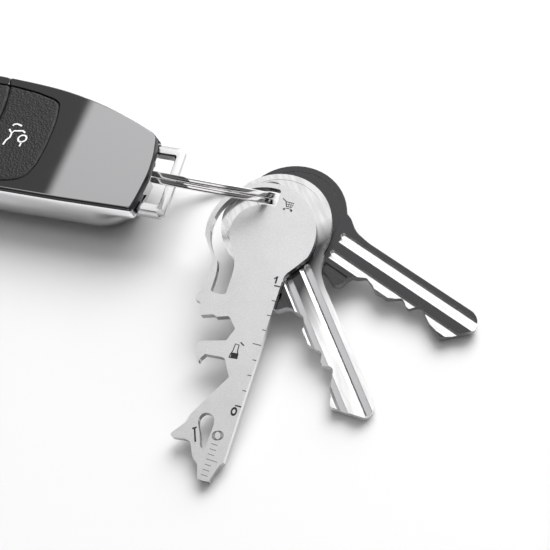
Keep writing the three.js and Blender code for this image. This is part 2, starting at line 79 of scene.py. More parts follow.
# The three flat pieces lie on each other along one normal, the multi-tool on top.
TOOL_THICKNESS = 1.8
KEY_THICKNESS = 2.2
GAP = 0.3
STACK_NORMAL = Vector(joint("multi_tool_swing")["axis"])
HEAD_MIDDLE = (Vector(joint("multi_tool_swing")["pos_m"]) - SHIFT) / MM
HEAD_TOP = HEAD_MIDDLE + STACK_NORMAL * (TOOL_THICKNESS / 2)
STACK_TURN = Vector((0, 0, 1)).rotation_difference(STACK_NORMAL).to_matrix().to_4x4()
STACK = Matrix.Translation(HEAD_TOP) @ STACK_TURN


# ---------- camera ----------
CAMERA_PLACE = (90.075, -117.264, 167.828)
CAMERA_RIGHT = Vector((0.94139, 0.30956, -0.13402))
CAMERA_FORWARD = Vector((-0.27975, 0.49445, -0.82296))
LENS = 62.77
SENSOR_WIDTH = 36.0
CLOSEST_VIEW, FURTHEST_VIEW = 0.005, 20


def make_camera():
    data = bpy.data.cameras.new("camera")
    data.lens, data.sensor_width = LENS, SENSOR_WIDTH
    data.clip_start, data.clip_end = CLOSEST_VIEW, FURTHEST_VIEW
    camera = bpy.data.objects.new("camera", data)
    up = CAMERA_RIGHT.cross(CAMERA_FORWARD)
    turn = Matrix((CAMERA_RIGHT, up, -CAMERA_FORWARD)).transposed().to_4x4()
    camera.matrix_world = Matrix.Translation(row(CAMERA_PLACE)) @ turn
    bpy.context.scene.collection.objects.link(camera)
    bpy.context.scene.camera = camera


make_camera()


# ---------- node helpers ----------
def material(name, color, metallic=0.0, roughness=0.5):
    made = bpy.data.materials.new(name)
    made.use_nodes = True
    made.diffuse_color = (*color, 1)
    shader = made.node_tree.nodes["Principled BSDF"]
    shader.inputs["Base Color"].default_value = (*color, 1)
    shader.inputs["Metallic"].default_value = metallic
    shader.inputs["Roughness"].default_value = roughness
    return made


def node(made, kind, **inputs):
    added = made.node_tree.nodes.new(kind)
    for key, value in inputs.items():
        added.inputs[key.replace("_", " ")].default_value = value
    return added


def link(made, source, target):
    made.node_tree.links.new(source, target)


def shader_of(made):
    return made.node_tree.nodes["Principled BSDF"]


def coordinates(made, turn=0.0, stretch=(1, 1, 1)):
    """Object coordinates, turned about Z by so many degrees and then stretched."""
    source = node(made, "ShaderNodeTexCoord")
    turned = node(made, "ShaderNodeMapping")
    turned.inputs["Rotation"].default_value = (0, 0, math.radians(-turn))
    link(made, source.outputs["Object"], turned.inputs["Vector"])
    scaled = node(made, "ShaderNodeMapping")
    scaled.inputs["Scale"].default_value = stretch
    link(made, turned.outputs["Vector"], scaled.inputs["Vector"])
    return scaled.outputs["Vector"]


def noise_texture(made, vector, per_metre, detail=4.0, rough=0.55):
    texture = node(made, "ShaderNodeTexNoise", Scale=per_metre, Detail=detail, Roughness=rough)
    link(made, vector, texture.inputs["Vector"])
    return texture.outputs["Fac"]


def between(made, value, low, high, source=(0.3, 0.7)):
    spread = node(made, "ShaderNodeMapRange")
    spread.inputs["From Min"].default_value, spread.inputs["From Max"].default_value = source
    spread.inputs["To Min"].default_value, spread.inputs["To Max"].default_value = low, high
    link(made, value, spread.inputs["Value"])
    return spread.outputs["Result"]


def math_node(made, operation, first, second):
    added = node(made, "ShaderNodeMath")
    added.operation = operation
    link(made, first, added.inputs[0])
    link(made, second, added.inputs[1])
    return added.outputs[0]


COLOR_A, COLOR_B, MIXED_COLOR = 6, 7, 2  # a Mix node's sockets for colours


def mix_colors(made, value, first, second):
    mixed = node(made, "ShaderNodeMix")
    mixed.data_type = "RGBA"
    mixed.inputs[COLOR_A].default_value = (*first, 1)
    mixed.inputs[COLOR_B].default_value = (*second, 1)
    link(made, value, mixed.inputs["Factor"])
    return mixed.outputs[MIXED_COLOR]


def multiply_colors(made, first, second):
    mixed = node(made, "ShaderNodeMix")
    mixed.data_type, mixed.blend_type = "RGBA", "MULTIPLY"
    mixed.inputs["Factor"].default_value = 1.0
    link(made, first, mixed.inputs[COLOR_A])
    link(made, second, mixed.inputs[COLOR_B])
    return mixed.outputs[MIXED_COLOR]


def bump(made, height, strength, distance):
    raised = node(made, "ShaderNodeBump", Strength=strength, Distance=distance)
    link(made, height, raised.inputs["Height"])
    link(made, raised.outputs["Normal"], shader_of(made).inputs["Normal"])


def worn(made, grain_per_metre, strength, rough_low, rough_high):
    """Fine grain in the normal and a slow patchy change of roughness."""
    vector = coordinates(made)
    bump(made, noise_texture(made, vector, grain_per_metre), strength, 0.00005)
    patches = noise_texture(made, vector, 160.0, 3.0)
    link(made, between(made, patches, rough_low, rough_high), shader_of(made).inputs["Roughness"])
    return made


# ---------- materials ----------
def satin_steel():
    """Blasted steel with a fine grain, speckled and slightly cloudy."""
    made = material("satin_steel", (0.66, 0.66, 0.665), 1.0, 0.4)
    vector = coordinates(made)
    grain = noise_texture(made, vector, 5200.0, 3.0)
    bump(made, grain, 0.35, 0.00004)
    cloud = noise_texture(made, vector, 90.0, 4.0)
    speck = noise_texture(made, vector, 4200.0, 2.0)
    tone = math_node(made, "ADD", between(made, cloud, 0.0, 0.4), between(made, speck, 0.0, 0.6))
    color = mix_colors(made, tone, (0.64, 0.64, 0.645), (0.80, 0.80, 0.805))
    link(made, color, shader_of(made).inputs["Base Color"])
    link(made, between(made, grain, 0.34, 0.5), shader_of(made).inputs["Roughness"])
    return made


# Polished metal for the tool's rounded edges, also laid on its ruler side as a painted highlight.
def polished_edge_and_highlight():
    made = material("polished_edge_and_highlight", (0.96, 0.96, 0.965), 1.0, 0.1)
    return worn(made, 2600.0, 0.05, 0.07, 0.14)


def key_metal(name, color, turn, roughness, streak=0.10, metallic=1.0):
    """Metal with fine streaks along the key, which lies at a turn from the X axis."""
    made = material(name, color, metallic, roughness)
    streaks = coordinates(made, turn, (0.04, 1, 1))
    fine = noise_texture(made, streaks, 5200.0, 2.0)
    bump(made, fine, streak, 0.00003)
    uneven = between(made, fine, roughness - 0.04, roughness + 0.08)
    link(made, uneven, shader_of(made).inputs["Roughness"])
    return made


def key_place(made, head, turn):
    """Coordinates in millimetres along the key from its head's centre and across it."""
    source = node(made, "ShaderNodeTexCoord")
    moved = node(made, "ShaderNodeVectorMath")
    moved.operation = "SUBTRACT"
    moved.inputs[1].default_value = row((*head, 0))
    link(made, source.outputs["Object"], moved.inputs[0])
    turned = node(made, "ShaderNodeMapping")
    turned.inputs["Rotation"].default_value = (0, 0, math.radians(-turn))
    turned.inputs["Scale"].default_value = (1 / MM, 1 / MM, 1 / MM)
    link(made, moved.outputs["Vector"], turned.inputs["Vector"])
    split = node(made, "ShaderNodeSeparateXYZ")
    link(made, turned.outputs["Vector"], split.inputs["Vector"])
    return split.outputs["X"], split.outputs["Y"]


def key_metal_with_painted_shade(name, head, turn, bright, neck_shade):
    """Polished metal with painted shade at the neck, where it mirrors the dark studio, clearing towards
    the tip in long soft streaks.
    """
    made = key_metal(name, bright, turn, 0.16, 0.06)
    along, across = key_place(made, head, turn)
    # Painted shade: the base colour is dark at the neck and clears past a slanted line towards the tip.
    slanted = math_node(made, "ADD", across, along)
    past_neck = between(made, slanted, 0.0, 1.0, (15.0, 25.0))
    before_neck = between(made, along, 0.8, 0.0, (3.0, 8.0))
    shade = mix_colors(made, math_node(made, "MAXIMUM", past_neck, before_neck), neck_shade, bright)
    streaks = noise_texture(made, coordinates(made, turn, (0.02, 1, 1)), 900.0, 2.0, 0.4)
    dimmed = tuple(channel * 0.86 for channel in bright)
    stripes = mix_colors(made, between(made, streaks, 0.0, 1.0, (0.36, 0.6)), dimmed, bright)
    link(made, multiply_colors(made, shade, stripes), shader_of(made).inputs["Base Color"])
    return made


def ring_nickel():
    made = material("ring_nickel", (0.84, 0.835, 0.825), 1.0, 0.1)
    return worn(made, 1500.0, 0.06, 0.06, 0.13)


def chrome():
    """Mirror chrome whose base colour darkens towards the bottom of the band, as painted shade for the
    shadowed table it mirrors there.
    """
    made = material("chrome", (0.90, 0.90, 0.91), 1.0, 0.05)
    position = node(made, "ShaderNodeSeparateXYZ")
    link(made, coordinates(made), position.inputs["Vector"])
    # Painted shade: the base colour darkens from 9 mm down to 3 mm above the bench.
    shaded_below, unshaded_above = row((0, 0, 3)).z, row((0, 0, 9)).z
    height = between(made, position.outputs["Z"], 0.0, 1.0, (shaded_below, unshaded_above))
    color = mix_colors(made, height, (0.42, 0.42, 0.425), (0.92, 0.92, 0.93))
    link(made, color, shader_of(made).inputs["Base Color"])
    return worn(made, 900.0, 0.02, 0.03, 0.08)


def gloss_cover():
    made = material("gloss_cover", (0.31, 0.31, 0.315), 1.0, 0.02)
    return worn(made, 700.0, 0.004, 0.015, 0.03)


def leather_pad():
    made = material("leather_pad", (0.02, 0.02, 0.021), 0.0, 0.5)
    vector = coordinates(made)
    fine = noise_texture(made, vector, 6200.0, 4.0)
    bump(made, fine, 0.5, 0.00006)
    link(made, between(made, fine, 0.3, 0.6), shader_of(made).inputs["Roughness"])
    return made


def plain_plastic(name, color, roughness):
    made = material(name, color, 0.0, roughness)
    return worn(made, 4200.0, 0.3, roughness - 0.06, roughness + 0.1)


def plain_metal(name, color, roughness):
    made = material(name, color, 1.0, roughness)
    return worn(made, 2400.0, 0.15, roughness - 0.06, roughness + 0.1)


def bail_chrome():
    made = material("bail_chrome", (0.56, 0.56, 0.565), 1.0, 0.16)
    return worn(made, 900.0, 0.03, 0.12, 0.2)


def laser_mark(name, shade):
    made = material(name, (shade, shade, shade), 0.2, 0.6)
    return worn(made, 5200.0, 0.2, 0.5, 0.7)


def white_print():
    made = material("white_print", (0.86, 0.86, 0.86), 0.0, 0.45)
    return worn(made, 3000.0, 0.2, 0.4, 0.55)


# The middle of the silver key's head in plan, and how far the keys are turned from X.
SILVER_HEAD = (32.75, -10.5)
SILVER_TURN = -52.9
DARK_TURN = -22.6
# The silver key's own bright colour, and the dark painted shade mixed in at its neck.
SILVER_BRIGHT, SILVER_NECK_SHADE = (0.95, 0.95, 0.95), (0.07, 0.07, 0.072)

MATERIALS = {
    "satin_steel": satin_steel(),
    "polished_edge_and_highlight": polished_edge_and_highlight(),
    # Painted shade: a darker copy of the tool's steel on its sides other than the ruler side.
    "side_painted_shade": plain_metal("side_painted_shade", (0.42, 0.42, 0.425), 0.3),
    "silver_key": key_metal_with_painted_shade("silver_key_metal", SILVER_HEAD, SILVER_TURN, SILVER_BRIGHT, SILVER_NECK_SHADE),
    "silver_edge": key_metal("silver_key_edge", (0.85, 0.85, 0.86), SILVER_TURN, 0.2, metallic=0.6),
    # Painted shade: the silver key's groove floors are darker than its flats.
    "silver_floor_painted_shade": key_metal("silver_key_groove_painted_shade", (0.50, 0.50, 0.51), SILVER_TURN, 0.2),
    "silver_wall": key_metal("silver_key_wall", (0.97, 0.97, 0.97), SILVER_TURN, 0.1),
    "dark_key": key_metal("dark_key_metal", (0.066, 0.066, 0.068), DARK_TURN, 0.24),
    "dark_edge": key_metal("dark_key_edge", (0.30, 0.30, 0.305), DARK_TURN, 0.16),
    # Painted highlight: the dark key's groove floors and sloped walls are near white, standing in for the
    # bright stripes they mirror.
    "dark_floor_painted_highlight": key_metal("dark_key_groove_painted_highlight", (0.94, 0.94, 0.94), DARK_TURN, 0.12),
    "dark_wall_painted_highlight": key_metal("dark_key_wall_painted_highlight", (0.96, 0.96, 0.96), DARK_TURN, 0.3, metallic=0.3),
    "ring": ring_nickel(),
    "chrome": chrome(),
    "bail": bail_chrome(),
    "gloss": gloss_cover(),
    # Painted shade for the cover's border and its crisp edge to the pads.
    "rim": plain_plastic("gloss_rim_painted_shade", (0.02, 0.02, 0.021), 0.3),
    "leather": leather_pad(),
    "black": plain_plastic("black_plastic", (0.018, 0.018, 0.019), 0.45),
    "board": plain_plastic("board_mask", (0.015, 0.11, 0.045), 0.35),
    "membrane": plain_plastic("membrane_rubber", (0.03, 0.03, 0.03), 0.7),
    "chip": plain_plastic("chip_epoxy", (0.02, 0.02, 0.022), 0.4),
    "coil": plain_plastic("coil_winding", (0.16, 0.09, 0.06), 0.45),
    "steel": plain_metal("bare_steel", (0.58, 0.58, 0.59), 0.28),
    "brass": plain_metal("contact_bronze", (0.62, 0.48, 0.24), 0.28),
    "mark": laser_mark("laser_mark", 0.022),
    "soft_mark": laser_mark("soft_laser_mark", 0.16),
    "print": white_print(),
}


# ---------- plan curves ----------
def spline(points, steps):
    """A smooth curve through the points, in so many steps in all."""
    points = [np.array(p, float) for p in points]
    last = len(points) - 1
    made = []
    for i in range(steps + 1):
        place = last * i / steps
        k = min(int(place), last - 1) if place < last else last
        t = place - k
        p0, p1 = points[max(k - 1, 0)], points[k]
        p2, p3 = points[min(k + 1, last)], points[min(k + 2, last)]
        slope0, slope1 = (p2 - p0) / 2, (p3 - p1) / 2
        made.append((2 * p1 - 2 * p2 + slope0 + slope1) * t**3
                    + (-3 * p1 + 3 * p2 - 2 * slope0 - slope1) * t**2 + slope0 * t + p1)
    return made


SHORTEST_STEP, LONGEST_STEP = 0.02, 0.5


def closed(*stretches):
    """One outline from stretches, without repeated points or long steps."""
    points = [p for stretch in stretches for p in stretch]
    points = [p for i, p in enumerate(points) if np.linalg.norm(p - points[i - 1]) > SHORTEST_STEP]
    made = []
    for p, after in zip(points, [*points[1:], points[0]]):
        steps = math.ceil(np.linalg.norm(after - p) / LONGEST_STEP)
        made += [p + (after - p) * k / steps for k in range(steps)]
    return np.array(made)


def arc(center, radius, start, end, steps):
    angles = np.radians(np.linspace(start, end, steps + 1))
    return [np.array((center[0] + radius * math.cos(a), center[1] + radius * math.sin(a))) for a in angles]


NOSE = {"x": -9.5, "y": -6.2, "reach_x": 11.7, "reach_y": 10.1}


def inset(points, distance, nose_pull=None):
    """A convex outline moved inwards; with a pull, a round nose trims its +X end as well."""
    middle = points.mean(axis=0)
    along = np.roll(points, -1, axis=0) - points
    normals = np.stack((along[:, 1], -along[:, 0]), axis=1) / np.linalg.norm(along, axis=1)[:, None]
    reach = ((points - middle) * normals).sum(axis=1) - distance
    if nose_pull is not None:
        angles = np.radians(np.arange(-88, 41, 1))
        nose_normals = np.stack((np.cos(angles), np.sin(angles)), axis=1)
        offset = (np.array((NOSE["x"], NOSE["y"])) - middle) @ nose_normals.T
        half = np.array((NOSE["reach_x"] - nose_pull - distance, NOSE["reach_y"] - distance))
        normals = np.concatenate((normals, nose_normals))
        reach = np.concatenate((reach, offset + np.linalg.norm(nose_normals * half, axis=1)))
    rays = points - middle
    facing = rays @ normals.T
    scale = np.where(facing > 1e-6, reach / np.maximum(facing, 1e-6), np.inf).min(axis=1)
    return middle + rays * scale[:, None]


remote_outline = closed(
    spline([(1.6, -16.3), (2.25, -15.9), (2.55, -15.2)], 8),
    spline([(2.75, -13), (2.85, -10), (2.8, -5.5), (2.1, -0.8), (1.1, 3.0)], 30),
    spline([(0.75, 4.1), (0.1, 5.0), (-1.0, 5.8)], 8),
    spline([(-5.5, 7.8), (-13.1, 10.6), (-20.6, 12.7), (-29.5, 14.3), (-42.8, 15.3), (-54, 15.3),
            (-64, 13.6), (-71, 10), (-75.2, 4.5), (-76.4, -1.5), (-75, -8), (-70.5, -13.6),
            (-63, -16.9), (-53, -17.9), (-42, -17.7), (-29.1, -17.25), (-20, -16.9),
            (-10.6, -16.6), (-2, -16.4)], 216),
)
pad_outline = closed(
    spline([(-23.7, -3.3), (-24.6, 3.5), (-26.0, 8.4), (-27.0, 9.8), (-28.6, 10.6)], 36),
    spline([(-33.3, 11.7), (-42, 12.6), (-54, 12.4), (-62, 10.9), (-67.5, 8), (-71, 3.5),
            (-72, -1.5), (-70.8, -6.5), (-67, -11), (-61, -14), (-52, -15.1), (-42, -15.2),
            (-30.5, -14.9)], 120),
    spline([(-28.2, -14.4), (-26.2, -13.6), (-24.5, -12.0), (-23.6, -8.6)], 24),
)


# ---------- mesh helpers ----------
def smooth(piece, angle):
    """Outward normals, with sharp shading across edges that bend more than the angle."""
    mesh = piece.data
    work = bmesh.new()
    work.from_mesh(mesh)
    bmesh.ops.recalc_face_normals(work, faces=work.faces)
    for face in work.faces:
        face.smooth = True
    for edge in work.edges:
        edge.smooth = edge.calc_face_angle(0) < math.radians(angle)
    work.to_mesh(mesh)
    work.free()


def new_piece(name, mesh, smooth_angle, *finishes):
    """A piece with a mesh in the frame's metres, and its materials."""
    for finish in finishes:
        mesh.materials.append(MATERIALS[finish])
    made = bpy.data.objects.new(name, mesh)
    bpy.context.scene.collection.objects.link(made)
    smooth(made, smooth_angle)
    return made


def add_mesh(name, points, faces, finish, smooth_angle=35):
    """A piece from bench points and faces."""
    mesh = bpy.data.meshes.new(name)
    mesh.from_pydata([row(p) for p in points], [], faces)
    return new_piece(name, mesh, smooth_angle, finish)


def add_bmesh(name, work, smooth_angle, *finishes):
    """A piece from a bmesh, which is used up."""
    mesh = bpy.data.meshes.new(name)
    work.to_mesh(mesh)
    work.free()
    return new_piece(name, mesh, smooth_angle, *finishes)


def loft(name, loops, finish):
    """A closed skin through equal loops of (points, z), with flat ends."""
    count = len(loops[0][0])
    points = [(x, y, z) for outline, z in loops for x, y in outline]
    faces = []
    for level in range(len(loops) - 1):
        for i in range(count):
            a, b = level * count + i, level * count + (i + 1) % count
            faces.append((a, b, b + count, a + count))
    faces.append(tuple(reversed(range(count))))
    faces.append(tuple(range((len(loops) - 1) * count, len(loops) * count)))
    return add_mesh(name, points, faces, finish)


def between_loops(loops, steps):
    """More loops between the given ones, on smooth curves."""
    stacked = [np.column_stack((outline, np.full(len(outline), z))) for outline, z in loops]
    dense = spline(stacked, steps * (len(loops) - 1))
    return [(level[:, :2], level[:, 2].mean()) for level in dense]


def block(x, y, z):
    plan = ((x[0], y[0]), (x[1], y[0]), (x[1], y[1]), (x[0], y[1]))
    corners = [(a, b, c) for c in z for a, b in plan]
    faces = [(3, 2, 1, 0), (4, 5, 6, 7), (0, 1, 5, 4), (1, 2, 6, 5), (2, 3, 7, 6), (3, 0, 4, 7)]
    return add_mesh("cutter", corners, faces, "black")


def subtract(piece, *cutters):
    """Cuts the cutters out of the piece and removes them."""
    for cutter in cutters:
        modifier = piece.modifiers.new("cut", "BOOLEAN")
        modifier.operation, modifier.solver, modifier.object = "DIFFERENCE", "EXACT", cutter
        evaluated = piece.evaluated_get(bpy.context.evaluated_depsgraph_get())
        mesh = bpy.data.meshes.new_from_object(evaluated)
        piece.modifiers.clear()
        piece.data = mesh
        bpy.data.objects.remove(cutter)
    mesh.name = piece.name
    return piece


def round_edges(piece, width, segments, angle, material_index=-1):
    modifier = piece.modifiers.new("round_edges", "BEVEL")
    modifier.width, modifier.segments = width * MM, segments
    modifier.limit_method, modifier.angle_limit = "ANGLE", math.radians(angle)
    modifier.material = material_index


WELD_DISTANCE = 1e-6
FLAT = math.radians(0.5)  # faces that bend less than this are one flat face


def soften(piece, width):
    """Rounds the sharp edges of a CAD node with modifiers."""
    weld = piece.modifiers.new("weld", "WELD")
    weld.merge_threshold = WELD_DISTANCE
    dissolve = piece.modifiers.new("flat_faces", "DECIMATE")
    dissolve.decimate_type, dissolve.angle_limit = "DISSOLVE", FLAT
    round_edges(piece, width, 3, 30)


def ride(piece, body, slot, *replaced):
    """Fixes a piece to a body and hides the nodes it stands for; slot is not used."""
    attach(piece, body)
    if replaced:
        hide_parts(*replaced)


# ---------- pieces with a plan outline and a height that depends on the place ----------
def distance_to(outline, points):
    """Distance from each point to a closed outline."""
    best = np.full(len(points), np.inf)
    for a, d in zip(outline, np.roll(outline, -1, axis=0) - outline):
        t = np.clip(((points - a) @ d) / max(d @ d, 1e-12), 0, 1)
        gap = np.linalg.norm(points - (a + t[:, None] * d), axis=1)
        best = np.minimum(best, gap)
    return best


def inside(outline, points):
    """Which points lie inside a closed outline."""
    found = np.zeros(len(points), bool)
    for a, b in zip(outline, np.roll(outline, -1, axis=0)):
        crosses = (a[1] > points[:, 1]) != (b[1] > points[:, 1])
        x = a[0] + (points[:, 1] - a[1]) * (b[0] - a[0]) / (b[1] - a[1] if b[1] != a[1] else 1e-12)
        found ^= crosses & (points[:, 0] < x)
    return found


def mound(name, outline, bottom, height, finish, rings, spacing):
    """A piece with straight sides up to height(points) at its outline, and that height inside.

    rings are the distances from the edge at which the surface gets points, and spacing
    that of the points further in.
    """
    edge = [Vector(p) for p in outline]
    along = np.roll(outline, -1, axis=0) - np.roll(outline, 1, axis=0)
    inward = np.stack((-along[:, 1], along[:, 0]), axis=1) / np.linalg.norm(along, axis=1)[:, None]
    extra = []
    for depth in rings:
        moved = outline + inward * depth
        keep = inside(outline, moved) & (distance_to(outline, moved) > depth * 0.97)
        extra.append(moved[keep])
    low, high = outline.min(axis=0), outline.max(axis=0)
    across, up = np.arange(low[0], high[0], spacing), np.arange(low[1], high[1], spacing * 0.866)
    grid = np.array([(x + (j % 2) * spacing / 2, y) for j, y in enumerate(up) for x in across])
    grid = grid[inside(outline, grid)]
    extra.append(grid[distance_to(outline, grid) > rings[-1] + spacing * 0.6])
    points = edge + [Vector(p) for stretch in extra for p in stretch]
    count = len(edge)
    border = [(i, (i + 1) % count) for i in range(count)]
    flat, _, faces = geometry.delaunay_2d_cdt(points, border, [], 1, 1e-5)[:3]
    plan = np.array([tuple(p) for p in flat])
    top = height(plan)
    work = bmesh.new()
    upper = [work.verts.new(row((*p, z))) for p, z in zip(plan, top)]
    for face in faces:
        work.faces.new([upper[i] for i in face])
    rim = [e for e in work.edges if len(e.link_faces) == 1]
    skirt = bmesh.ops.extrude_edge_only(work, edges=rim)["geom"]
    lowered = [v for v in skirt if isinstance(v, bmesh.types.BMVert)]
    for vertex in lowered:
        vertex.co.z = row((0, 0, bottom)).z
    bmesh.ops.contextual_create(work, geom=[e for e in work.edges if len(e.link_faces) == 1])
    return add_bmesh(name, work, 50, finish)


# ---------- the seams across the remote's face ----------
SEAM_RADIUS = 39.0
SEAM_Y = -1.5
FIRST_SEAM = -38.8
SECOND_SEAM = FIRST_SEAM - 13.5
SEAM_STEP = 0.8  # degrees between points along a seam


def seam(x):
    """The centre of the seam that crosses the remote's middle line at x."""
    return np.array((x - SEAM_RADIUS, SEAM_Y))


def runs(outline, keep):
    """The stretches of a closed outline that satisfy keep, cut exactly at their ends."""
    kept = [keep(p) for p in outline]
    count = len(outline)
    start = next(i for i in range(count) if kept[i] and not kept[i - 1])
    found = []
    for step in range(count):
        i = (start + step) % count
        if kept[i] and not kept[i - 1]:
            found.append([crossing(outline[i - 1], outline[i], keep)])
        if kept[i]:
            found[-1].append(outline[i])
            after = (i + 1) % count
            if not kept[after]:
                found[-1].append(crossing(outline[after], outline[i], keep))
    return found


def crossing(outer, inner, keep):
    """The point between the two where keep starts to hold."""
    for _ in range(30):
        middle = (outer + inner) / 2
        if keep(middle):
            inner = middle
        else:
            outer = middle
    return inner


def seam_stretch(start, end, center):
    """Points along a seam between two points on it, without its ends."""
    first, last = (math.degrees(math.atan2(*(p - center)[::-1])) for p in (start, end))
    steps = max(2, int(abs(last - first) / SEAM_STEP))
    return arc(center, np.linalg.norm(start - center), first, last, steps)[1:-1]


def cut_by_seams(outline, keep, centers):
    """The outline's kept runs, joined along the seams."""
    stretches = runs(outline, keep)
    made = []
    for i, stretch in enumerate(stretches):
        after = stretches[(i + 1) % len(stretches)][0]
        before = stretch[-1]

        def mismatch(center):
            return abs(np.linalg.norm(before - center) - np.linalg.norm(after - center))

        made += [*stretch, *seam_stretch(before, after, min(centers, key=mismatch))]
    return np.array(made)


def right_of(x):
    return lambda p: np.linalg.norm(p - seam(x)) > SEAM_RADIUS


def left_of(x):
    return lambda p: np.linalg.norm(p - seam(x)) < SEAM_RADIUS


# ---------- remote ----------
COVER_BOTTOM = 12.0
COVER_TOP = 13.75
COVER_EDGE = 0.25
BORDER = [(0, 13.05), (0.08, 13.4), (0.2, 13.6), (0.34, 13.71), (0.5, COVER_TOP)]  # inwards, height
COVER_RINGS = (0.02, 0.05, 0.08, 0.12, 0.2, 0.34, 0.5, 0.55, 0.9)
COVER_SPACING = 0.8
SHADED_RIM_WIDTH = 0.36  # of the outer border, near black as painted shade
CRISP = 0.12  # radius of the edge along the pads and the seams
SEAM_CLEARANCE = 0.1


def cover(name, seam_x, front):
    """One part of the glossy cover: a rounded outer border and a crisp edge to the pads, both near black
    as painted shade.
    """
    edge = inset(remote_outline, COVER_EDGE)
    keep = right_of(seam_x) if front else left_of(seam_x)
    outer = runs(edge, keep)[0]
    inner = runs(pad_outline, keep)[0]
    center = seam(seam_x)
    outline = np.array([
        *outer, *seam_stretch(outer[-1], inner[-1], center), *reversed(inner),
        *seam_stretch(inner[0], outer[0], center),
    ])

    def inner_gap(points):
        to_seam = np.abs(np.linalg.norm(points - center, axis=1) - SEAM_RADIUS)
        return np.minimum(distance_to(pad_outline, points), to_seam)

    def height(points):
        border = np.interp(distance_to(edge, points), *zip(*BORDER))
        depth = np.clip(CRISP - inner_gap(points), 0, CRISP)
        return border - (CRISP - np.sqrt(CRISP**2 - depth**2))

    piece = mound(name, outline, COVER_BOTTOM, height, "gloss", COVER_RINGS, COVER_SPACING)
    # Painted shade: the border and the crisp edge along the pads and seams get a near-black plastic in
    # place of the gloss.
    piece.data.materials.append(MATERIALS["rim"])
    places = (np.array([vertex.co for vertex in piece.data.vertices]) - np.array(SHIFT))[:, :2] / MM
    in_shaded_rim = distance_to(edge, places) < SHADED_RIM_WIDTH
    in_shaded_crisp_edge = inner_gap(places) < CRISP + SHORTEST_STEP / 2
    for face in piece.data.polygons:
        corners = list(face.vertices)
        face.material_index = int(in_shaded_rim[corners].all() or in_shaded_crisp_edge[corners].all())
    weighted = piece.modifiers.new("flat_shading", "WEIGHTED_NORMAL")
    weighted.keep_sharp = True
    return piece


PAD_BOTTOM = 12.1
PAD_TOP = 13.8
PAD_CLEARANCE = 0.2
PAD_ROUND = 0.55
PAD_RINGS = (0.06, 0.16, 0.3, 0.5)
PAD_SPACING = 0.16
PEBBLE_LENGTH, PEBBLE_WIDTH, PEBBLE_HEIGHT = 0.66, 0.56, 0.12
VALLEY = 0.42


def pebbles(points):
    """Leather grain: low rounded pebbles with narrow valleys between them, from 0 to 1."""
    values = []
    for x, y in points:
        warp = 0.35 * noise.noise(Vector((x * 0.9, y * 0.9, 3.0)))
        place = Vector(((x + warp) / PEBBLE_LENGTH, (y - warp) / PEBBLE_WIDTH, 0.5))
        nearest, second, *_ = noise.voronoi(place)[0]
        values.append(min(1.0, (second - nearest) / VALLEY))
    valley = np.array(values)
    return valley * valley * (3 - 2 * valley)


def pad(name, keep, centers):
    """One pad, with a rounded edge; keep says which part of the remote's face it covers."""
    outline = cut_by_seams(inset(pad_outline, PAD_CLEARANCE), keep, centers)

    def height(points):
        depth = np.clip(PAD_ROUND - distance_to(outline, points), 0, PAD_ROUND)
        dome = PAD_ROUND - np.sqrt(np.maximum(PAD_ROUND**2 - depth**2, 0))
        return PAD_TOP - PEBBLE_HEIGHT - dome + PEBBLE_HEIGHT * pebbles(points)

    return mound(name, outline, PAD_BOTTOM, height, "leather", PAD_RINGS, PAD_SPACING)


def make_covers():
    front = cover("remote_cover_front", FIRST_SEAM + SEAM_CLEARANCE, True)
    ride(front, "housing", "gloss_cover", "top_cover_front")
    rear = cover("remote_cover_rear", FIRST_SEAM - SEAM_CLEARANCE, False)
    ride(rear, "housing", "gloss_cover", "top_cover_rear")


def make_pads():
    boot_end, unlock_start = FIRST_SEAM + SEAM_CLEARANCE, FIRST_SEAM - SEAM_CLEARANCE
    unlock_end, lock_start = SECOND_SEAM + SEAM_CLEARANCE, SECOND_SEAM - SEAM_CLEARANCE

    def in_unlock(point):
        return right_of(unlock_end)(point) and left_of(unlock_start)(point)

    boot = pad("boot_pad", right_of(boot_end), [seam(boot_end)])
    unlock = pad("unlock_pad", in_unlock, [seam(unlock_end), seam(unlock_start)])
    lock = pad("lock_pad", left_of(lock_start), [seam(lock_start)])
    for made, node_name in ((boot, "boot_button"), (unlock, "unlock_button"), (lock, "lock_button")):
        ride(made, node_name, "leather_pad", node_name)


BAND_WALL = 2.2
BAND_PULL = 1.65  # how far the bore's nose lies back
LIP_WALL = 0.22
LIP_BOTTOM = 11.75
ABOVE_ALL = 20


def make_surround():
    """The chrome band round the remote's side, with a thin lip round the cover."""
    levels = [
        (inset(remote_outline, 1.9, 1.6), 2.6),
        (inset(remote_outline, 0.9, 1.5), 3.8),
        (inset(remote_outline, 0.25, 1.25), 5.6),
        (inset(remote_outline, 0, 0.7), 8.0),
        (inset(remote_outline, 0.02), 10.5),
        (inset(remote_outline, 0.03), 12.2),
        (inset(remote_outline, 0.14), 12.9),
    ]
    band = loft("remote_chrome_band", between_loops(levels, 5), "chrome")
    bore_outline = inset(remote_outline, BAND_WALL, BAND_PULL)
    bore = loft("cutter", [(bore_outline, 0), (bore_outline, ABOVE_ALL)], "chrome")
    lip_outline = inset(remote_outline, LIP_WALL)
    lip_bore = loft("cutter", [(lip_outline, LIP_BOTTOM), (lip_outline, ABOVE_ALL)], "chrome")
    bail_way = block((-9, 12), (-15.0, 4.6), (9.4, ABOVE_ALL))
    tang_way = block((-9, 12), (-8.6, -0.6), (2.1, 12))
    subtract(band, bore, lip_bore, bail_way, tang_way)
    smooth(band, 35)
    ride(band, "housing", "chrome_trim", "chrome_surround")


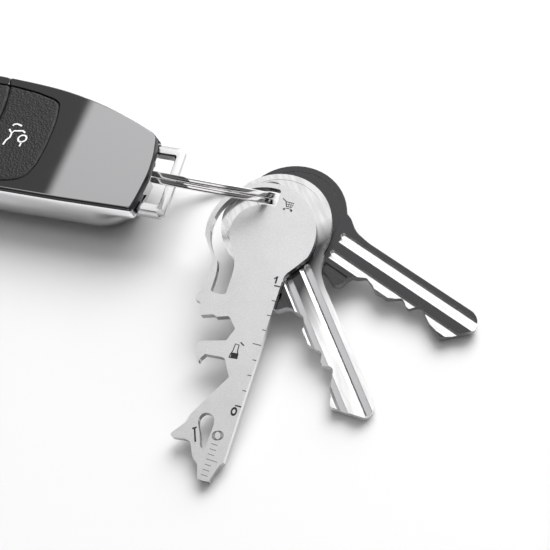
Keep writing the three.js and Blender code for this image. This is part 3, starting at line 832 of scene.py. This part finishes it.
# ---------- split ring ----------
RING = {"center": (17.1, -5.12, 11.55), "outer": 13.5, "inner": 12.1, "coil": 1.2, "slit": 0.08,
        "lean": 54.3, "heading": -0.5, "end_gap": 0.06, "ends_at": 90, "edge_round": 0.32}
RING_STEPS = 360
TAPER, TAPER_STEPS = 0.35, 3  # how much slimmer the wire's ends get, and within how many steps


def rounded_section(width, height, radius):
    x, y = width / 2 - radius, height / 2 - radius
    corners = ((x, y, 0), (-x, y, 90), (-x, -y, 180), (x, -y, 270))
    return [p for cx, cy, start in corners for p in arc((cx, cy), radius, start, start + 90, 4)]


def ring_turn():
    """The ring's heading about Z, applied after its lean about its own X."""
    heading = Matrix.Rotation(math.radians(RING["heading"]), 4, "Z")
    return heading @ Matrix.Rotation(math.radians(-RING["lean"]), 4, "X")


def make_ring():
    """One flat wire wound twice, stepping over to the second coil in the middle."""
    middle = (RING["outer"] + RING["inner"]) / 2
    pitch = RING["coil"] + RING["slit"]
    section = rounded_section(RING["outer"] - RING["inner"], RING["coil"], RING["edge_round"])
    place = Matrix.Translation(RING["center"]) @ ring_turn()
    points, faces = [], []
    for i in range(RING_STEPS + 1):
        turn = RING["end_gap"] + (2 - 2 * RING["end_gap"]) * i / RING_STEPS
        angle = math.radians(RING["ends_at"]) + turn * 2 * math.pi
        t = min(max((turn - 1) / (1.5 * RING["end_gap"]) + 0.5, 0), 1)
        level = (t * t * (3 - 2 * t) - 0.5) * pitch
        from_end = min(i, RING_STEPS - i)
        slim = 1 - TAPER * max(0, 1 - from_end / TAPER_STEPS) ** 2
        for across, up in section:
            radius = middle + across * slim
            x, y = radius * math.cos(angle), radius * math.sin(angle)
            points.append(place @ Vector((x, y, level + up * slim)))
    count = len(section)
    for i in range(RING_STEPS):
        for j in range(count):
            a, b = i * count + j, i * count + (j + 1) % count
            faces.append((a, b, b + count, a + count))
    faces.append(tuple(range(count)))
    faces.append(tuple(range(RING_STEPS * count, (RING_STEPS + 1) * count)))
    ride(add_mesh("key_ring", points, faces, "ring", 40), "split_ring", "ring_nickel", "split_ring")


# ---------- pieces in the shape of a CAD node ----------
def remade(name, source, *finishes):
    """A new piece in a CAD node's shape, with its coplanar faces merged."""
    cad_node = frame["nodes"][source]
    work = bmesh.new()
    work.from_mesh(cad_node.data)
    work.transform(cad_node.matrix_world)
    bmesh.ops.remove_doubles(work, verts=work.verts, dist=WELD_DISTANCE)
    bmesh.ops.dissolve_limit(work, angle_limit=FLAT, verts=work.verts, edges=work.edges)
    return add_bmesh(name, work, 30, *finishes)


def make_bail():
    """The bail, with flat chamfers whose own edges are rounded."""
    bail = remade("bail", "emergency_key_head", "bail")
    round_edges(bail, 0.62, 1, 40)
    round_edges(bail, 0.12, 2, 20)
    ride(bail, "emergency_key", "chrome_trim", "emergency_key_head")


def make_release_spring():
    """The spring behind the release slider, on a mesh of its own; nothing here shortens it as the slider
    is pushed.
    """
    spring = remade("slider_spring", "release_spring", "steel")
    ride(spring, "housing", "spring_steel", "release_spring")
    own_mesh(spring)


def make_tool():
    """The multi-tool: satin faces, polished edges, the ruler side in the polished metal as a painted
    highlight, and the other sides darker as painted shade.
    """
    satin, polished_and_highlight, shaded_side = range(3)
    tool = remade("key_tool", "multi_tool", "satin_steel", "polished_edge_and_highlight", "side_painted_shade")
    for face in tool.data.polygons:
        # Painted light: the side facing +X gets the bright metal, the other sides the darker one.
        side = polished_and_highlight if face.normal.x > 0.99 else shaded_side
        face.material_index = side if abs(face.normal.dot(STACK_NORMAL)) < 0.5 else satin
    round_edges(tool, 0.17, 3, 30, polished_and_highlight)
    ride(tool, "multi_tool", "tool_steel", "multi_tool")


# The keys' top faces, along the stack's normal from the top of the multi-tool.
SILVER_TOP = -(TOOL_THICKNESS + GAP)
DARK_TOP = SILVER_TOP - (KEY_THICKNESS + GAP)
GROOVE_FLOOR_BELOW = 0.6


def make_key(name, source, top, slot, *finishes):
    """A key with separate materials on the flats, the rounded edges, the groove floors and walls; the dark
    key's bright groove floors and walls are a painted highlight, the silver key's darker groove floors
    painted shade.
    """
    flat, edge, floor, wall = range(4)
    key = remade(name, source, *finishes)
    for face in key.data.polygons:
        upright = face.normal.dot(STACK_NORMAL)
        height = ((face.center - SHIFT) / MM - HEAD_TOP).dot(STACK_NORMAL) - top
        if upright > 0.99:
            face.material_index = floor if height < -GROOVE_FLOOR_BELOW else flat
        elif upright > -0.2:
            face.material_index = wall if upright > 0.2 else edge
    round_edges(key, 0.09, 2, 42, edge)
    ride(key, source, slot, source)


def make_keys():
    make_key("silver_cylinder_key", "silver_key", SILVER_TOP, "key_nickel_silver",
             "silver_key", "silver_edge", "silver_floor_painted_shade", "silver_wall")
    make_key("dark_cylinder_key", "dark_key", DARK_TOP, "key_dark",
             "dark_key", "dark_edge", "dark_floor_painted_highlight", "dark_wall_painted_highlight")


# ---------- marks on the multi-tool: u across the shank, v towards the head ----------
MARK_LIFT = 0.012
MARKS_ASIDE, MARKS_BELOW = 7.1, 10.6  # where u = v = 0 lies, from the middle of the tool's head
TOOL_TURN = -0.4


def on_tool(points):
    """Points of the marks, just above the multi-tool's top face."""
    turn = Matrix.Rotation(math.radians(TOOL_TURN), 4, "Z")
    return [STACK @ turn @ Vector((u + MARKS_ASIDE, v - MARKS_BELOW, MARK_LIFT)) for u, v in points]


def stroke(points, width):
    """A polyline with a width, as one outline."""
    points = [np.array(p, float) for p in points]
    left, right = [], []
    for i, p in enumerate(points):
        along = points[min(i + 1, len(points) - 1)] - points[max(i - 1, 0)]
        aside = np.array((-along[1], along[0])) / np.linalg.norm(along) * width / 2
        left.append(p + aside)
        right.append(p - aside)
    return [*left, *reversed(right)]


def circle_stroke(center, radius, width):
    outer = arc(center, radius + width / 2, 0, 360, 24)
    inner = arc(center, radius - width / 2, 0, 360, 24)
    return [*outer, *reversed(inner)]


def marks(name, outlines, finish, body, slot, place):
    """Thin printed or engraved shapes on a surface, as strips between an outline's two sides."""
    points, faces = [], []
    for outline in outlines:
        first, last = len(points), len(points) + len(outline) - 1
        points += place(outline)
        for i in range(len(outline) // 2 - 1):
            faces.append((first + i, first + i + 1, last - 1 - i, last - i))
    ride(add_mesh(name, points, faces, finish), body, slot)


EIGHTH_INCH = 3.175
RULER_EDGE = 0.47
END_TICK, HALF_TICK, SHORT_TICK = 1.27, 1.78, 0.79
BOLD, FINE = 0.28, 0.17


def ruler_marks():
    """An inch in eighths, with a figure at each end."""
    lengths = [END_TICK, *[SHORT_TICK] * 3, HALF_TICK, *[SHORT_TICK] * 3, END_TICK]
    lines = []
    for i, length in enumerate(lengths):
        v, width = -i * EIGHTH_INCH, BOLD if length == END_TICK else FINE
        lines.append(stroke([(RULER_EDGE, v), (RULER_EDGE - length, v)], width))
    one = [stroke([(-0.7, 0.47), (-0.7, 2.05)], 0.34), stroke([(-0.6, 1.98), (-1.25, 1.4)], 0.26)]
    zero = [(-0.65 + x * 0.7, -26.6 + y) for x, y in circle_stroke((0, 0), 0.66, 0.46)]
    return [*lines, *one, zero]


def tip_scale():
    """Seven short lines a millimetre apart, the middle one longer."""
    left, top, droop = -2.9, -33.59, 0.05
    lines = []
    for i in range(7):
        v, length = top - i, 2.23 if i == 3 else 1.3
        lines.append(stroke([(left, v), (left + length, v - droop)], 0.13))
    return lines


def opener_icons():
    """A nail and a bottle with its cap, as signs for what the edges are for."""
    nail = [
        stroke([(-7.37, -31.83), (-6.61, -31.36)], 0.3),
        stroke([(-6.98, -31.6), (-5.95, -34.1)], 0.34),
    ]
    bottle = [
        stroke([(-4.98, -16.62), (-4.85, -15.75), (-4.62, -15.1), (-4.56, -13.7)], 0.2),
        stroke([(-3.38, -16.5), (-3.42, -15.6), (-3.72, -15.0), (-3.78, -13.75)], 0.2),
        stroke([(-5.0, -16.55), (-3.35, -16.45)], 0.22),
        stroke([(-4.75, -15.95), (-3.5, -15.85)], 0.95),
        stroke([(-4.62, -13.62), (-3.72, -13.7)], 0.16),
        stroke([(-3.67, -13.07), (-2.82, -13.58)], 0.28),
    ]
    return [*nail, *bottle]


def trolley():
    """A shopping trolley seen from the side."""
    return [
        stroke([(-4.78, 19.13), (-3.95, 18.6), (-3.5, 17.38)], 0.2),
        stroke([(-3.95, 18.55), (-2.19, 18.49), (-2.43, 17.48), (-3.55, 17.46)], 0.18),
        stroke([(-3.8, 18.05), (-2.3, 18.0)], 0.12),
        stroke([(-3.2, 18.5), (-3.1, 17.5)], 0.12),
        stroke([(-2.7, 18.5), (-2.7, 17.5)], 0.12),
        stroke([(-3.6, 17.1), (-2.3, 17.05)], 0.16),
        circle_stroke((-3.85, 16.8), 0.14, 0.2),
        circle_stroke((-2.3, 16.75), 0.14, 0.2),
    ]


def coins():
    """A short row of coins that overlap."""
    return [circle_stroke((-2.4 + 0.2 * i, -31.9 + 0.08 * i), 0.85, 0.14) for i in range(3)]


def make_tool_marks():
    dark = [*ruler_marks(), *opener_icons(), *trolley()]
    marks("tool_marks_dark", dark, "mark", "multi_tool", "tool_steel", on_tool)
    marks("tool_marks_soft", [*tip_scale(), *coins()], "soft_mark", "multi_tool", "tool_steel", on_tool)


# ---------- sign on the boot pad ----------
SIGN_LIFT = 0.03


def on_pad(points):
    return [Vector((x, y, PAD_TOP + SIGN_LIFT)) for x, y in points]


def make_boot_sign():
    """A lid that opens over a box, and a small ring handle."""
    outlines = [
        stroke([(-34.45, 0.65), (-34.3, 1.15), (-33.64, 1.38), (-32.89, 1.24), (-32.25, 0.95)], 0.42),
        stroke([(-34.8, -0.44), (-34.3, -0.95), (-33.74, -1.4), (-33.38, -0.7), (-32.47, -0.55),
                (-31.35, -0.3), (-30.5, -0.75)], 0.42),
        stroke([(-34.15, -5.06), (-34.04, -3.68), (-33.52, -2.65), (-33.7, -1.5)], 0.44),
        circle_stroke((-30.38, -2.5), 1.0, 0.4),
        stroke([(-30.1, -3.5), (-30.0, -4.75)], 0.4),
    ]
    marks("boot_sign", outlines, "print", "boot_button", "leather_pad", on_pad)


# ---------- finishes of the CAD pieces: the material, and how far sharp edges are rounded ----------
FINISHES = {
    "emergency_key_head": ("bail", 0), "emergency_key_blade": ("steel", 0.1),
    "housing_tray": ("black", 0.12), "battery_cover": ("black", 0.12), "release_slider": ("black", 0.1),
    "circuit_board": ("board", 0.05), "keypad_membrane": ("membrane", 0.15), "radio_chip": ("chip", 0.1),
    "transponder_coil": ("coil", 0.2), "coin_cell": ("steel", 0.2), "release_spring": ("steel", 0),
    "battery_contact_negative": ("brass", 0.04), "battery_contact_positive": ("brass", 0.04),
    "boot_switch": ("steel", 0.1), "unlock_switch": ("steel", 0.1), "lock_switch": ("steel", 0.1),
    "boot_button": ("leather", 0), "unlock_button": ("leather", 0), "lock_button": ("leather", 0),
    "top_cover_front": ("gloss", 0), "top_cover_rear": ("gloss", 0), "chrome_surround": ("chrome", 0),
    "split_ring": ("ring", 0), "silver_key": ("silver_edge", 0), "dark_key": ("dark_edge", 0),
    "multi_tool": ("satin_steel", 0),
}


def finish_cad_pieces():
    """Every node gets its material; those that a scene piece stands for keep their edges."""
    for name, (finish, width) in FINISHES.items():
        piece = frame["nodes"][name]
        piece.data.materials.clear()
        piece.data.materials.append(MATERIALS[finish])
        if width:
            soften(piece, width)


# ---------- stage ----------
TABLE_REACH = 3.0  # metres
TABLE_DROP = 0.05  # keeps the table clear of the remote's flat underside
KEY_LIGHT = {"place": (0.1, 0.5, 0.62), "size": 0.7, "power": 6.0}


def make_stage():
    mesh = bpy.data.meshes.new("table")
    corners = [(-TABLE_REACH, -TABLE_REACH), (TABLE_REACH, -TABLE_REACH),
               (TABLE_REACH, TABLE_REACH), (-TABLE_REACH, TABLE_REACH)]
    mesh.from_pydata([(x, y, -TABLE_DROP * MM) for x, y in corners], [], [(0, 1, 2, 3)])
    table = bpy.data.objects.new("table", mesh)
    bpy.context.scene.collection.objects.link(table)
    white = material("table_white", (0.79, 0.79, 0.79), 0.0, 0.9)
    shader_of(white).inputs["Specular IOR Level"].default_value = 0.0
    mesh.materials.append(white)


def make_key_light():
    """A soft light above and behind the bunch, which polished faces do not mirror."""
    data = bpy.data.lights.new("key_light", "AREA")
    data.shape, data.size, data.energy = "DISK", KEY_LIGHT["size"], KEY_LIGHT["power"]
    light = bpy.data.objects.new("key_light", data)
    bpy.context.scene.collection.objects.link(light)
    light.location = KEY_LIGHT["place"]
    light.rotation_euler = (-light.location).to_track_quat("-Z", "Y").to_euler()
    light.visible_glossy = False


# The brightness of the studio's sides, and the directions that place two of its borders.
CEILING, BACKDROP = 1.12, 1.9
LEFT_WALL, RIGHT_WALL, FRONT_WALL = 0.12, 0.16, 0.07
LEFT_BORDER = (0.8375, 0.0599, 0.5431)  # at right angles to the edge of the dark left wall
PANEL_SIDE = (0.0, 0.804, 0.594)  # at right angles to the narrow light in the front wall


def make_sky():
    """A studio that is bright behind and above, with dark walls left, right and in front."""
    world = bpy.data.worlds.new("studio")
    bpy.context.scene.world = world
    world.use_nodes = True
    tree = world.node_tree
    background = tree.nodes["Background"]
    background.inputs["Color"].default_value = (1, 1, 1, 1)
    direction = tree.nodes.new("ShaderNodeTexCoord").outputs["Generated"]

    def along(vector):
        """How far the direction points along the vector, from -1 to 1."""
        product = tree.nodes.new("ShaderNodeVectorMath")
        product.operation = "DOT_PRODUCT"
        product.inputs[1].default_value = Vector(vector).normalized()
        tree.links.new(direction, product.inputs[0])
        return product.outputs["Value"]

    def step(value, start, end, low, high):
        """A soft step from low at the start value to high at the end value."""
        spread = tree.nodes.new("ShaderNodeMapRange")
        spread.interpolation_type = "SMOOTHSTEP"
        spread.inputs["From Min"].default_value, spread.inputs["From Max"].default_value = start, end
        spread.inputs["To Min"].default_value, spread.inputs["To Max"].default_value = low, high
        tree.links.new(value, spread.inputs["Value"])
        return spread.outputs["Result"]

    def combine(operation, first, *others):
        """A math node, or a chain of them when there are more than two values."""
        added = tree.nodes.new("ShaderNodeMath")
        added.operation = operation
        for value, socket in zip((first, *others), added.inputs):
            tree.links.new(value, socket)
        return combine(operation, added.outputs[0], *others[1:]) if len(others) > 1 else added.outputs[0]

    back = along((0, 1, 0))
    backdrop = step(along((0, 1, 0.1)), 0.25, 1.0, CEILING, BACKDROP)
    left_wall = combine("MAXIMUM", step(along(LEFT_BORDER), -0.006, 0.006, LEFT_WALL, 1.0),
                        step(back, 0.75, 0.9, 0.0, 1.0))
    right_wall = step(along((1, 0, 0)), 0.5, 0.72, 1.0, RIGHT_WALL)
    panel = step(combine("ABSOLUTE", along(PANEL_SIDE)), 0.08, 0.14, 1.0, 0.0)
    front_wall = combine("MAXIMUM", step(back, -0.45, 0.05, FRONT_WALL, 1.0), panel)
    strength = combine("MULTIPLY", backdrop, left_wall, right_wall, front_wall)
    tree.links.new(strength, background.inputs["Strength"])


make_covers()
make_pads()
make_surround()
make_ring()
make_bail()
make_release_spring()
make_keys()
make_tool()
make_tool_marks()
make_boot_sign()
finish_cad_pieces()
make_stage()
make_sky()
make_key_light()
bpy.context.scene.view_settings.view_transform = "Standard"
